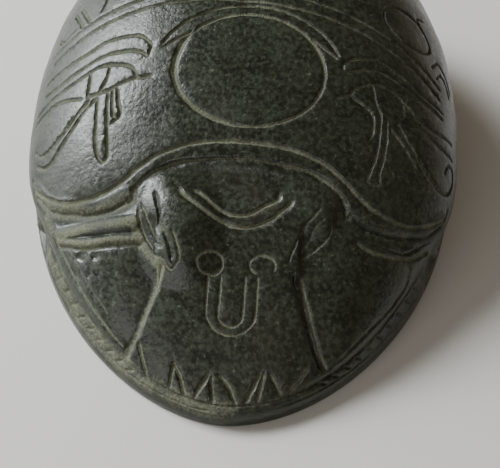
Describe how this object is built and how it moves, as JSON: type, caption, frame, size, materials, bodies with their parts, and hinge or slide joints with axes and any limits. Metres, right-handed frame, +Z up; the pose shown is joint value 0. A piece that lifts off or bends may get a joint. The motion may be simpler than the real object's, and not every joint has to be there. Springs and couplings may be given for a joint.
{
  "type": "scarab amulet",
  "caption": "Large stone scarab amulet: a domed beetle on an oval foot, with incised sacred eyes, a sun disc in a crescent, a toothed head and legs in low relief.",
  "frame": {"origin": "middle of the flat underside, on the resting plane", "axes": "+Z up through the back, -Y toward the head, +Y toward the tail, +X to the right for someone who faces the head"},
  "size_m": [0.06, 0.088, 0.0315],
  "materials": {
    "stone": "hand-polished dark green stone with fine pale flecks and pale dust in the cut lines"
  },
  "bodies": {
    "root": {"scarab": "stone"}
  },
  "joints": []
}
